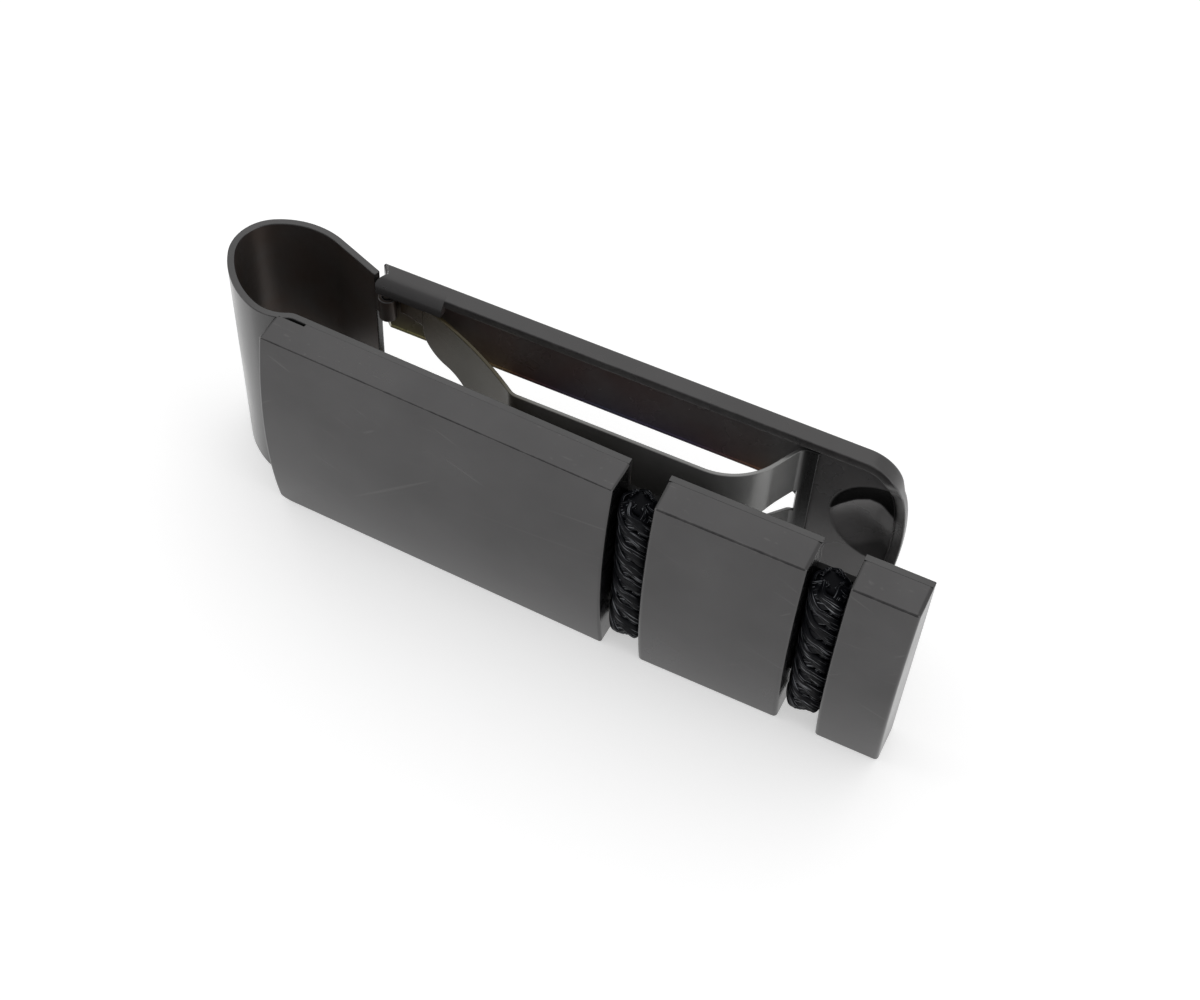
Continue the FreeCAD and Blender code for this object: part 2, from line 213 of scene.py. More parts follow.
def rounded_rings(a0, a1, b0, b1, r, steps=4, hold=0.03):
    """Rounded rectangles, one for each ring. A corner is a quarter circle, centre plus r times
    (cos t, sin t), with a holding point just before and after it to keep the flats flat."""
    a0, a1, b0, b1, r = np.broadcast_arrays(*[np.atleast_1d(np.asarray(v, float))
                                              for v in (a0, a1, b0, b1, r)])
    corners = []
    for k, (ca, cb) in enumerate(((a1 - r, b1 - r), (a0 + r, b1 - r),
                                  (a0 + r, b0 + r), (a1 - r, b0 + r))):
        t = math.pi / 2 * (k + np.linspace(0, 1, steps + 1))
        a = ca[:, None] + r[:, None] * np.cos(t)
        b = cb[:, None] + r[:, None] * np.sin(t)
        step_a, step_b = -math.sin(t[0]) * hold, math.cos(t[0]) * hold
        end_a, end_b = -math.sin(t[-1]) * hold, math.cos(t[-1]) * hold
        a = np.concatenate([a[:, :1] - step_a, a, a[:, -1:] + end_a], 1)
        b = np.concatenate([b[:, :1] - step_b, b, b[:, -1:] + end_b], 1)
        corners.append(np.stack([a, b], -1))
    worn = np.tile(np.r_[0.0, 0.4, np.ones(steps - 1), 0.4, 0.0], 4)
    return np.concatenate(corners, 1), worn


def sharpen(ring, side, low, high, share):
    """Draw the two round corners on the side a = side towards their sharp corners, in place, so
    that the seam with the neighbour there is hardly seen. A share of 1 leaves them as they are."""
    count = ring.shape[1] // 4
    share = np.broadcast_to(share, side.shape)[:, None, None]
    for part, z in ((slice(0, count), high), (slice(3 * count, 4 * count), low)):
        sharp = np.stack([side, z], -1)[:, None]
        ring[:, part] = sharp + (ring[:, part] - sharp) * share


def eased_ends(start, end, radius, places, rounds=(True, True)):
    """Places along a piece and how far the outline draws in there. At a rounded end, the inset
    is r (1 - cos t) where the place is r (1 - sin t) short of the end, and one more ring on the
    end face holds it flat."""
    t = np.linspace(0, math.pi / 2, 5)
    inner = places[(places > start + radius + 0.02) & (places < end - radius - 0.02)]
    short = radius * (1 - np.sin(t))
    draw = radius * (1 - np.cos(t))
    s, inset = [inner], [np.zeros(len(inner))]
    if rounds[0]:
        s.insert(0, np.r_[start, (start + short)[::-1], start + radius + 0.02])
        inset.insert(0, np.r_[radius + 0.03, draw[::-1], 0.0])
    else:
        s.insert(0, np.array([start]))
        inset.insert(0, np.zeros(1))
    if rounds[1]:
        s.append(np.r_[end - radius - 0.02, end - short, end])
        inset.append(np.r_[0.0, draw, radius + 0.03])
    else:
        s.append(np.array([end]))
        inset.append(np.zeros(1))
    return np.concatenate(s), np.concatenate(inset)


# %% [markdown]
# ## Camera, floor and light
# The clip lies on a white table and is seen from above its front right side, through a long
# lens, so the covers' top faces and front faces both show. Black plated metal shows what
# stands round it more than its own colour. A white floor and a large soft lamp overhead give
# the pale top faces, and the dim room behind the camera gives the dark crease lines.

# %% Camera
camera_data = bpy.data.cameras.new("camera")
camera = bpy.data.objects.new("camera", camera_data)
bpy.context.scene.collection.objects.link(camera)
camera_data.lens = 62.4
camera_data.sensor_width = 36.0
camera_data.clip_start = 0.01
camera_data.clip_end = 20.0
look_from = Vector((40.55, -85.155, 136.09)) * mm
right = Vector((0.8896, 0.4549, 0.0405)).normalized()
down = Vector((0.3890, -0.7083, -0.5891)).normalized()
back = right.cross(-down).normalized()
up = back.cross(right)
turn = Matrix((right, up, back)).transposed()
camera.matrix_world = Matrix.Translation(look_from) @ turn.to_4x4()
bpy.context.scene.camera = camera
print("camera stands", round((look_from - Vector((0, 0, 0.01))).length / mm), "mm away")


# %% Shader helpers
def start_material(name):
    """An empty node material, its node tree and its output."""
    made = bpy.data.materials.new(name)
    made.use_nodes = True
    tree = made.node_tree
    tree.nodes.clear()
    out = tree.nodes.new("ShaderNodeOutputMaterial")
    return made, tree, out


def feed(tree, socket, value):
    """Join a socket to another one, or give it a plain value."""
    if isinstance(value, bpy.types.NodeSocket):
        tree.links.new(value, socket)
    else:
        socket.default_value = value


def node(tree, kind, sockets=None, **settings):
    """Add a node, give it its settings, and set or join its inputs by name or number."""
    made = tree.nodes.new(kind)
    for key, value in settings.items():
        setattr(made, key, value)
    for key, value in (sockets or {}).items():
        feed(tree, made.inputs[key], value)
    return made


def ramp(tree, fac, stops):
    """A colour ramp with the stops (place, colour)."""
    made = node(tree, "ShaderNodeValToRGB", {"Fac": fac})
    bands = made.color_ramp.elements
    bands[0].position, bands[0].color = stops[0][0], (*stops[0][1], 1)
    bands[1].position, bands[1].color = stops[-1][0], (*stops[-1][1], 1)
    for place, colour in stops[1:-1]:
        bands.new(place).color = (*colour, 1)
    return made.outputs["Color"]


def math_node(tree, kind, a, b=0.0, c=0.0, clamp=False):
    """One sum on two values, or a times b plus c."""
    made = node(tree, "ShaderNodeMath", {0: a, 1: b, 2: c}, operation=kind, use_clamp=clamp)
    return made.outputs[0]


def mixed(tree, fac, a, b):
    """Blend colour a into colour b."""
    return node(tree, "ShaderNodeMix", {0: fac, 6: a, 7: b}, data_type="RGBA").outputs[2]


def scaled(tree, colour, by):
    """A colour times one value."""
    return node(tree, "ShaderNodeVectorMath", {0: colour, 3: by}, operation="SCALE").outputs[0]


def mark_of(tree, name, output="Fac"):
    """A mark that the mesh carries at each point."""
    return node(tree, "ShaderNodeAttribute", attribute_name=name).outputs[output]


def object_place(tree):
    """The place on the object, in metres."""
    return node(tree, "ShaderNodeTexCoord").outputs["Object"]


# %% Floor
floor_mesh = bpy.data.meshes.new("floor")
grid = np.linspace(-2.5, 2.5, 11)
gx, gy = np.meshgrid(grid, grid, indexing="ij")
floor_points = np.stack([gx, gy, np.full_like(gx, -0.00001)], -1).reshape(-1, 3)
row = np.arange(10)[:, None] * 11 + np.arange(10)[None, :]
floor_faces = np.stack([row, row + 11, row + 12, row + 1], -1).reshape(-1, 4)
floor_mesh.from_pydata(floor_points.tolist(), [], floor_faces.tolist())
floor = bpy.data.objects.new("floor", floor_mesh)
bpy.context.scene.collection.objects.link(floor)

paper, tree, out = start_material("white_table")
rays = node(tree, "ShaderNodeLightPath")
seen = math_node(tree, "MAXIMUM", rays.outputs["Is Camera Ray"], rays.outputs["Is Glossy Ray"])
seen = math_node(tree, "MAXIMUM", seen, rays.outputs["Is Transmission Ray"])
matt = node(tree, "ShaderNodeBsdfDiffuse", {"Color": (0.8, 0.8, 0.8, 1)})
lit = node(tree, "ShaderNodeEmission", {"Color": (1, 1, 0.995, 1), "Strength": 0.45})
both = node(tree, "ShaderNodeAddShader", {0: matt.outputs[0], 1: lit.outputs[0]})
pick = node(tree, "ShaderNodeMixShader", {0: seen, 1: matt.outputs[0], 2: both.outputs[0]})
tree.links.new(pick.outputs[0], out.inputs["Surface"])
floor_mesh.materials.append(paper)
print("floor", len(floor_mesh.polygons), "faces")

# %% Room and lamps
world = bpy.data.worlds.new("soft_room")
bpy.context.scene.world = world
world.use_nodes = True
tree = world.node_tree
tree.nodes.clear()
out = tree.nodes.new("ShaderNodeOutputWorld")
where = node(tree, "ShaderNodeTexCoord")
apart = node(tree, "ShaderNodeSeparateXYZ", {0: where.outputs["Generated"]})
toward_back = math_node(tree, "MULTIPLY_ADD", apart.outputs["Y"], 0.5, 0.5)
room = ramp(tree, toward_back, [(0.0, (0.45, 0.45, 0.46)), (0.35, (0.60, 0.60, 0.61)),
                               (0.62, (0.95, 0.95, 0.95)), (1.0, (1.0, 1.0, 1.0))])
rays = node(tree, "ShaderNodeLightPath")
shine = node(tree, "ShaderNodeBackground", {"Color": room, "Strength": 0.80})
white = node(tree, "ShaderNodeBackground", {"Color": (1, 1, 1, 1), "Strength": 1.0})
pick = node(tree, "ShaderNodeMixShader", {0: rays.outputs["Is Camera Ray"],
                                          1: shine.outputs[0], 2: white.outputs[0]})
tree.links.new(pick.outputs[0], out.inputs["Surface"])


def soft_lamp(name, place, aim, size, power):
    """A square lamp at place, facing aim."""
    data = bpy.data.lights.new(name, "AREA")
    data.shape = "RECTANGLE"
    data.size, data.size_y = size
    data.energy = power
    lamp = bpy.data.objects.new(name, data)
    bpy.context.scene.collection.objects.link(lamp)
    lamp.location = place
    lamp.rotation_euler = (Vector(aim) - Vector(place)).to_track_quat("-Z", "Y").to_euler()
    return lamp


soft_lamp("overhead_lamp", (-0.10, 0.28, 0.55), (0, 0, 0), (0.60, 0.60), 0.50)
soft_lamp("left_lamp", (-0.60, -0.10, 0.35), (0, 0, 0.01), (0.35, 0.35), 0.55)
soft_lamp("right_lamp", (0.55, -0.06, 0.22), (0, 0, 0.01), (0.40, 0.40), 0.6)
bpy.context.scene.view_settings.view_transform = "Standard"
print("three soft lamps and a soft room")

# %% [markdown]
# ## Covers
# Each cover is a solid block of steel: a flat back, square top and bottom, and a front that
# swells out a little between its two long edges. Its section is therefore the same all along,
# and a section carried along X makes it. Real edges are never quite sharp, so the section has
# tiny round corners and its ends draw in the same way, which is what catches the light.


# %% Covers
def cover_shell(start, end, edge=0.10, slot_depth=0.0, slot_to=0.0, corner=0.0, soft=0.22):
    """Section carried from x = start to end. The front is a circle's arc through the two long
    edges, standing cover_bow proud at mid height: y = c - sqrt(R^2 - (z - middle)^2)."""
    arc_radius = (middle ** 2 + cover_bow ** 2) / (2 * cover_bow)
    x, inset = eased_ends(start, end, soft, np.linspace(start, end, 60))
    if slot_to:
        x = np.r_[x[x < slot_to - 0.05], slot_to - 0.02, slot_to + 0.02, x[x > slot_to + 0.05]]
        inset = np.interp(x, *eased_ends(start, end, soft, np.linspace(start, end, 60)))
    back = cover_depth - np.minimum(inset, 0.04) - slot_depth * (x < slot_to)
    low = inset.copy()
    if corner:
        short = np.clip(corner - (x - start), 0, corner)
        low = low + corner - np.sqrt(corner ** 2 - short ** 2)
    high = width - inset
    r = np.maximum(edge - inset, 0.01)
    ring, worn = rounded_rings(inset, back, low, high, r)
    lift = inset - np.minimum(inset, 0.05)
    sharpen(ring, back, low - lift, high + lift, 0.15)
    # Points on the front side (small a) are spread over the arc between the two edges.
    heights = np.linspace(0, 1, 34)[1:-1]
    last = ring.shape[1] // 2
    top, bottom = ring[:, last - 1], ring[:, last]
    z = top[:, None, 1] + (bottom - top)[:, None, 1] * heights
    front = np.concatenate([ring[:, :last], np.stack([np.repeat(top[:, None, 0], 32, 1), z], -1),
                            ring[:, last:]], 1)
    worn = np.r_[worn[:last], np.zeros(32), worn[last:]]
    swell = np.sqrt(arc_radius ** 2 - (front[..., 1] - middle) ** 2) - (arc_radius - cover_bow)
    share = np.clip((back[:, None] - front[..., 0]) / np.maximum(back - inset, 0.1)[:, None], 0, 1)
    y = front[..., 0] - swell * share ** 6
    rings = np.stack([np.repeat(x[:, None], y.shape[1], 1), y, front[..., 1]], -1)
    ends = np.minimum(inset / soft, 1.0)[:, None]
    return shell(rings, edge=np.maximum(worn[None, :], ends * (ends < 1.0)))


middle_start = long_length + groove
middle_end = middle_start + 11.6
end_start = middle_end + groove
bar_end = end_start + 5.1

covers = []
for name, start, end, place, settings in (
        ("long_cover", 0.0, long_length, None, {"slot_depth": 0.25, "slot_to": 2.4, "corner": 1.0}),
        ("middle_cover", middle_start, middle_end, on_bar_end, {"edge": 0.16, "soft": 0.35}),
        ("end_cover", end_start, bar_end, on_bar_end, {"edge": 0.16, "soft": 0.30})):
    made = cover_shell(start, end, **settings)
    made["rings"] = place(made["rings"]) if place else made["rings"]
    covers.append(piece(name + "_plate", [made], "front_bar", [name]))


# %% [markdown]
# ## Strips that bend
# The band and the leaf are sheet strips that stand on edge. In plan, the middle line of such a
# strip is a few flats and round bends, as a maker would set them on a bending machine. The
# line is worked out as whole arrays: for each distance along it, a point and a heading.

# %% Flats and bends
def line_of(start, heading, moves):
    """A function of distance along the line. A flat goes on by (s cos h, s sin h); a bend of
    radius r turns the heading by s / r about its centre, clockwise for a positive angle."""
    lengths = [size if kind == "flat" else size * abs(math.radians(angle))
               for kind, size, angle in moves]
    ends = np.concatenate([[0.0], np.cumsum(lengths)])

    def at(s):
        s = np.asarray(s, float)
        x, y, h = np.zeros_like(s), np.zeros_like(s), np.zeros_like(s)
        px, py, ph = start[0], start[1], math.radians(heading)
        for k, (kind, size, angle) in enumerate(moves):
            here = (s >= ends[k] - 1e-9) if k else np.ones_like(s, bool)
            d = s[here] - ends[k]
            if kind == "flat":
                x[here], y[here], h[here] = px + d * math.cos(ph), py + d * math.sin(ph), ph
                px, py = px + size * math.cos(ph), py + size * math.sin(ph)
            else:
                side = 1.0 if angle > 0 else -1.0
                cx, cy = px + size * side * math.sin(ph), py - size * side * math.cos(ph)
                turn = ph - side * d / size
                x[here] = cx - size * side * np.sin(turn)
                y[here] = cy + size * side * np.cos(turn)
                h[here] = turn
                ph = ph - math.radians(angle)
                px, py = cx - size * side * math.sin(ph), cy + size * side * math.cos(ph)
        return x, y, h

    return at, ends


def strip_shell(at, start, end, thickness, low, high, edge=0.08, step=0.12,
                rounds=(False, False), place=None, inside_side=1, tight_to=-1.0):
    """A strip between two heights along a line. A point is the line's point plus its left
    normal (-sin h, cos h) times the place across the thickness; low and high may follow s."""
    count = max(3, int((end - start) / step) + 1)
    s, inset = eased_ends(start, end, edge, np.linspace(start, end, count), rounds)
    lows = low(s) if callable(low) else np.full_like(s, low)
    highs = high(s) if callable(high) else np.full_like(s, high)
    half = thickness / 2
    ring, worn = rounded_rings(inset - half, half - inset, lows + inset, highs - inset,
                               np.maximum(edge - inset, 0.008), hold=0.02)
    sharpen(ring, half - inset, lows + inset, highs - inset, np.where(s < tight_to, 0.15, 1.0))
    x, y, h = at(s)
    a = ring[..., 0]
    rings = np.stack([x[:, None] - np.sin(h)[:, None] * a,
                      y[:, None] + np.cos(h)[:, None] * a, ring[..., 1]], -1)
    ends = np.minimum(inset / edge, 1.0)[:, None]
    inside = (a * inside_side > half * 0.97).astype(float)
    rings = place(rings) if place else rings
    return shell(rings, edge=np.maximum(worn[None, :], ends * (ends < 1.0)), inside=inside)


# %% [markdown]
# ## Spring band
# One strip backs all three covers, is narrower behind each groove where the cord is wound on,
# bends round the loop at the left end and stops just short of the hinge. Two small eyes stand
# on its end and hold the hinge pins.

# %% Spring band
band_line = cover_depth + band_thickness / 2
kink = band_line * math.tan(bar_turn / 2)
trim = 3.0 * math.tan(bar_turn / 2)
first = on_bar_end(np.array([bar_end, band_line, 0.0]))
loop = [("bend", 1.25, -30.0), ("bend", 3.5, 49.0), ("bend", 7.25, 44.0), ("bend", 3.3, 84.0),
        ("bend", 6.2, 52.0), ("flat", 4.3, 0.0)]
band_at, band_ends = line_of(first, 181.5, [("flat", bar_end - bar_turn_x + kink - trim, 0.0),
                                            ("bend", 3.0, 1.5),
                                            ("flat", bar_turn_x - kink - trim - 1.4, 0.0)] + loop)
cuts = [0.0, bar_end - end_start, bar_end - middle_end, bar_end - middle_start,
        bar_end - long_length, band_ends[-1]]
neck = 3.0
band_shells = []
for k, (a, b) in enumerate(zip(cuts, cuts[1:])):
    narrow = neck if k in (1, 3) else 0.0
    band_shells.append(strip_shell(band_at, a, b, band_thickness, narrow, width - narrow,
                                   rounds=(k == 0, k == 4), inside_side=-1,
                                   tight_to=bar_end - 2.4))
    # Each neck takes shade 0.8, which darkens it nearly black: painted shade in the groove.
    if narrow:
        band_shells[-1]["shade"] = np.full_like(band_shells[-1]["edge"], 0.8)


def eye_shell(low, high, radius, bore):
    """A short tube round the hinge line: a rounded wall section turned through a full circle."""
    turns = np.linspace(0, 2 * math.pi, 48, endpoint=False)
    section, worn = rounded_rings(bore, radius, low, high, 0.06, hold=0.02)
    r, z = section[0, :, 0], section[0, :, 1]
    rings = np.stack([hinge[0] + np.cos(turns)[:, None] * r,
                      hinge[1] + np.sin(turns)[:, None] * r,
                      np.repeat(z[None, :], 48, 0)], -1)
    return shell(rings, closed=True, edge=worn[None, :])


bx, by, bh = band_at(np.array([band_ends[-1]]))
tab_at = line_of((bx[0] - 0.2 * math.cos(bh[0]), by[0] - 0.2 * math.sin(bh[0])),
                 math.degrees(bh[0]), [("flat", 0.75, 0.0)])[0]
ear_low, ear_high = 15.7, 17.9
for low in (ear_low, width - ear_high):
    band_shells.append(strip_shell(tab_at, 0.0, 0.7, band_thickness, low,
                                   low + ear_high - ear_low))
    band_shells.append(eye_shell(low, low + ear_high - ear_low, 0.70, 0.40))
    # The ears count as inner faces, so they take the band's painted light and tint there.
    for ear in band_shells[-2:]:
        ear["inside"] = np.ones_like(ear["inside"])
spring_band = piece("spring_band_strip", band_shells, "front_bar", ["spring_band"])

# %% [markdown]
# ## Spring arm
# The arm is a shallow pressed channel with a long window, so it is really a horseshoe: one
# rail above the window, a round end, and one rail below. A section that runs from the
# window's edge, over the plate and round into the flange, is carried along the horseshoe.
# Near the tip a smooth round dish is pressed outwards, where a thumb pushes the arm open, and
# the flange dies away there. At the hinge end both flanges are rolled over into short lips.

# %% Arm outline and dish
arm_tip, arm_corner, arm_bulge = 42.15, 3.0, 30.0
sheet = 0.8
back_face, plate_face, flange_front = 1.6, 0.8, 0.1
window_half = 3.3
window_centre = 34.4 - window_half
dish_at, dish_height, dish_outer, dish_deep = 40.7, middle + 2.6, 4.3, 1.0
lip_end, lip_start, lip_depth, lip_radius = 4.82, -1.08, 2.17, 1.2
nose_radius, cut_u, cut_v, cut_slope = 0.85, 0.256, 0.274, 0.731 / 0.683


def soft_step(low, high, value):
    """0 below low, 1 above high, and 3t^2 - 2t^3 between them."""
    t = np.clip((value - low) / (high - low), 0, 1)
    return t * t * (3 - 2 * t)


def dish(u, z):
    """How far the dish is pressed out: a bowl, depth (1 - (1 - t)^2) as t goes from 0 at the rim
    to 1 near the middle, with the rim itself slightly rounded. It is shallower at the tip."""
    r = np.hypot(u - dish_at, z - dish_height)
    t = np.clip((dish_outer - r) / (dish_outer - 0.8), 0, 1)
    t = 1.04 * t * t / (t + 0.04)
    return dish_deep * (1 - (1 - t) ** 2) * (1 - 0.45 * soft_step(39.6, 42.2, u))


def dish_shade(u, z):
    """Painted shade in the dish, standing in for its dark reflections: 1 above an arch under its
    upper rim, and about a half below a shallower arch near its lower rim. Both end at the rim."""
    r = np.hypot(u - dish_at, z - dish_height)
    arch = np.interp(u, [36.5, 36.9, 38.05, 39.0, 39.85, 40.6, 41.3, 42.2],
                     [12.4, 12.8, 13.6, 13.95, 13.7, 13.2, 12.8, 12.6])
    hollow = np.interp(u, [37.0, 38.4, 39.1, 40.7, 41.5], [9.4, 9.0, 9.2, 10.1, 9.7])
    upper = soft_step(-0.12, 0.12, z - arch)
    lower = 0.6 * soft_step(-0.35, 0.45, hollow - z)
    return (1 - soft_step(dish_outer - 0.05, dish_outer + 0.15, r)) * np.maximum(upper, lower)


def top_outline(share):
    """Upper half of the round end: a flat, a quarter-like corner and the bowed tip, by share of
    its length. Returns places and outward normals in the (u, z) plane."""
    bulge_u = arm_tip - arm_bulge
    corner_z = width - arm_corner
    rise = corner_z - middle
    corner_u = bulge_u + math.sqrt((arm_bulge - arm_corner) ** 2 - rise ** 2)
    meet = math.atan2(rise, corner_u - bulge_u)
    parts = [corner_u - window_centre, arm_corner * (math.pi / 2 - meet), arm_bulge * meet]
    s = share * sum(parts)
    on_flat, on_corner = s < parts[0], s < parts[0] + parts[1]
    turn = np.where(on_flat, math.pi / 2,
                    np.where(on_corner, math.pi / 2 - (s - parts[0]) / arm_corner,
                             meet - (s - parts[0] - parts[1]) / arm_bulge))
    u = np.where(on_flat, window_centre + s,
                 np.where(on_corner, corner_u + arm_corner * np.cos(turn),
                          bulge_u + arm_bulge * np.cos(turn)))
    z = np.where(on_flat, width, np.where(on_corner, corner_z + arm_corner * np.sin(turn),
                                          middle + arm_bulge * np.sin(turn)))
    return np.stack([u, z], -1), np.stack([np.cos(turn), np.sin(turn)], -1)


def quarter(r, steps=5):
    """Round corner as (across, along) pairs, from (0, r) to (r, 0) out of the corner."""
    t = np.linspace(0, math.pi / 2, steps)
    return r * (1 - np.sin(t)), r * (1 - np.cos(t))


def channel_rings(outer, inner, normal, front, lip=False):
    """Rings of the section. Out along the back face, round the corner, down the flange or lip,
    over its edge and back up the inside to the window's edge."""
    n = len(outer)
    across = outer - inner
    across = across / np.linalg.norm(across, axis=1, keepdims=True)
    big, fillet, fine, window_round = 0.25, 0.12, 0.10, 0.30
    u, v, worn, inside, rim_mark, dark = [], [], [], [], [], []

    def add(place, depth, mark, within, at_window=0.0):
        place = np.broadcast_to(place, (n, depth.shape[-1], 2))
        u.append(place)
        depth = np.broadcast_to(depth, (n, depth.shape[-1]))
        held = np.clip((depth - flange_front) / (plate_face - flange_front), 0, 1)
        v.append(depth + held * dish(place[..., 0], place[..., 1]))
        # The dish's shade mark is painted shade.
        dark.append(within * held * dish_shade(place[..., 0], place[..., 1]))
        worn.append(np.broadcast_to(mark, depth.shape[-1:]))
        inside.append(np.full(depth.shape[-1], within))
        rim_mark.append(np.broadcast_to(at_window, depth.shape[-1:]))

    share = np.r_[0.0, 0.01, np.linspace(0.03, 1, 60)]
    corner = outer - big * normal
    start = inner + fine * across
    path = start[:, None] * (1 - share[:, None]) + corner[:, None] * share[:, None]
    add(path, np.full(len(share), back_face), 0.0, 0.0)
    t = np.linspace(0, math.pi / 2, 6)[1:]
    add(corner[:, None] + big * np.sin(t)[:, None] * normal[:, None],
        back_face - big + big * np.cos(t), np.r_[0.6, 1, 1, 0.6, 0.2], 0.0)
    if lip:
        roll = np.linspace(0, math.pi / 2, 12)
        sign = np.sign(outer[:, 1] - middle)[:, None]
        centre_v, radius = back_face - lip_depth + lip_radius, lip_radius
        edge_z = outer[:, 1][:, None] - sign * radius
        z = edge_z + sign * radius * np.cos(roll)
        place = np.stack([np.repeat(outer[:, :1], 12, 1), z], -1)
        add(place, centre_v - radius * np.sin(roll), np.r_[np.zeros(11), 0.6], 0.0)
        b = quarter(fine)[1]
        rim = np.stack([np.repeat(outer[:, :1], 5, 1), np.repeat(edge_z, 5, 1)], -1)
        add(rim, centre_v - radius + b, np.ones(5), 0.0)
        add(rim[:, :2], centre_v - radius + sheet - np.array([fine, 0.0]), 1.0, 1.0)
        inner_r = radius - sheet
        back_roll = roll[::-1]
        z = edge_z + sign * inner_r * np.cos(back_roll)
        add(np.stack([np.repeat(outer[:, :1], 12, 1), z], -1),
            centre_v - inner_r * np.sin(back_roll), np.r_[0.6, np.zeros(11)], 1.0)
    else:
        height = np.maximum(plate_face - front, 0.03)[:, None]
        front = plate_face - height
        side = np.linspace(0, 1, 5)[None, 1:]
        add(outer[:, None], (back_face - big) * (1 - side) + (front + fine) * side, 0.0, 0.0)
        t = np.linspace(0, math.pi / 2, 5)
        add(outer[:, None] - fine * (1 - np.cos(t))[:, None] * normal[:, None],
            front + fine - fine * np.sin(t), 1.0, 0.0)
        r = np.minimum(fine, height * 0.5)
        add(outer[:, None] - (sheet - r[:, :, None] * (1 - np.sin(t))[None, :, None]
                              ) * normal[:, None],
            front + r - r * np.cos(t), 1.0, 0.5)
        r2 = np.minimum(fillet, height * 0.45)
        side = np.linspace(0, 1, 5)[None, 1:]
        add(outer[:, None] - sheet * normal[:, None],
            (front + r) * (1 - side) + (plate_face - r2) * side, 0.0, 1.0)
    t = np.linspace(0, math.pi / 2, 5)[1:]
    floor_end = outer - (sheet + fillet) * normal
    add(floor_end[:, None] + fillet * (1 - np.sin(t))[:, None] * normal[:, None],
        plate_face - fillet + fillet * (1 - np.cos(t)), 0.0, 1.0)
    start = inner + window_round * across
    path = floor_end[:, None] * (share[:, None]) + start[:, None] * (1 - share[:, None])
    # Rim mark: it fades over the plate away from the window, where it gives a dark heat tint, and
    # it is 1 on a thin line 0.15 to 0.4 mm from the window, where it is a painted highlight.
    from_window = 6.5 * share[::-1][1:]
    tint_and_highlight_line = 0.5 * np.exp(-from_window / 1.6)
    tint_and_highlight_line = np.maximum(tint_and_highlight_line, (from_window > 0.15) * (from_window < 0.40))
    add(path[:, ::-1][:, 1:], np.full(len(share) - 1, plate_face), 0.0, 1.0, tint_and_highlight_line)
    t = np.linspace(0, math.pi / 2, 8)[1:]
    add(inner[:, None] + window_round * (1 - np.sin(t))[:, None] * across[:, None],
        plate_face + window_round * (1 - np.cos(t)), 0.3, 1.0, 0.5)
    t = np.linspace(0, math.pi / 2, 5)
    add(inner[:, None] + fine * (1 - np.cos(t))[:, None] * across[:, None],
        back_face - fine + fine * np.sin(t), 1.0, 0.0, 0.0)
    uz, v = np.concatenate(u, 1), np.concatenate(v, 1)
    rings = np.stack([uz[..., 0], v, uz[..., 1]], -1)
    marks = {"edge": np.concatenate(worn)[None, :], "inside": np.concatenate(inside)[None, :],
             "rim": np.concatenate(rim_mark)[None, :], "shade": np.concatenate(dark, 1)}
    return rings, marks


# %% Arm
rail_u = np.r_[lip_end, np.linspace(lip_end + 0.05, window_centre, 40)[:-1]]
share = np.linspace(0, 1, 130)
end_outer, end_normal = top_outline(share)
quarter_turn = share * math.pi / 2
end_inner = np.stack([window_centre + window_half * np.sin(quarter_turn),
                      middle + window_half * np.cos(quarter_turn)], -1)
rail_outer = np.stack([rail_u, np.full_like(rail_u, width)], -1)
rail_inner = np.stack([rail_u, np.full_like(rail_u, middle + window_half)], -1)
outer = np.concatenate([rail_outer, end_outer])
inner = np.concatenate([rail_inner, end_inner])
normal = np.concatenate([np.tile([0.0, 1.0], (len(rail_u), 1)), end_normal])


def mirrored(points, sign=1.0):
    """The lower half of the horseshoe, in order from the tip back to the hinge end."""
    flipped = points[:-1][::-1].copy()
    flipped[:, 1] = (width - flipped[:, 1]) if sign > 0 else -flipped[:, 1]
    return flipped


outer = np.concatenate([outer, mirrored(outer)])
inner = np.concatenate([inner, mirrored(inner)])
normal = np.concatenate([normal, mirrored(normal, -1.0)])
away = np.abs(outer[:, 1] - dish_height)
at_tip = soft_step(36.0, 38.0, outer[:, 0]) * (1 - soft_step(3.6, 6.4, away))
front = flange_front + (plate_face - flange_front) * at_tip
rings, marks = channel_rings(outer, inner, normal, front)
arm_shells = [shell(on_hinge(rings), **marks)]


def hinge_end(v):
    """Left end of the arm in plan: a round nose about the pin, or the slanting cut that clears
    the band, whichever reaches further left."""
    nose = -np.sqrt(np.clip(nose_radius ** 2 - v ** 2, 0, None))
    slant = cut_u - cut_slope * (v - cut_v)
    return np.maximum(np.minimum(nose, slant), lip_start)


spread = np.r_[0, 0.02, np.linspace(0.08, 0.98, 14), 1.0]
for side in (1, -1):
    u = np.linspace(lip_start, lip_end, len(spread))
    edge_z = width if side > 0 else 0.0
    outer = np.stack([u, np.full_like(u, edge_z)], -1)
    inner = np.stack([u, np.full_like(u, middle + side * window_half)], -1)
    normal = np.tile([0.0, float(side)], (len(u), 1))
    rings, marks = channel_rings(outer, inner, normal, np.zeros(len(u)), lip=True)
    up = np.clip((np.abs(rings[..., 2] - middle) - middle + 0.55) / 0.55, 0, 1)
    left = hinge_end(rings[..., 1]) + 0.40 * up ** 2
    rings[..., 0] = left * (1 - spread[:, None]) + lip_end * spread[:, None]
    arm_shells.append(shell(on_hinge(rings), zip_from=rings.shape[1] - 5, **marks))
spring_arm = piece("spring_arm_channel", arm_shells, "arm", ["spring_arm"])

# %% [markdown]
# ## Leaf spring
# A thin bowed strip sits inside the arm. Its forked ends bear on the two rails, so the notes
# are pushed by the flat of the bow. Prongs and middle are strips on the same bent line, and the
# prong's inner side follows a quarter circle where it meets the notch. When the notes push it,
# the bow flattens towards the rails.

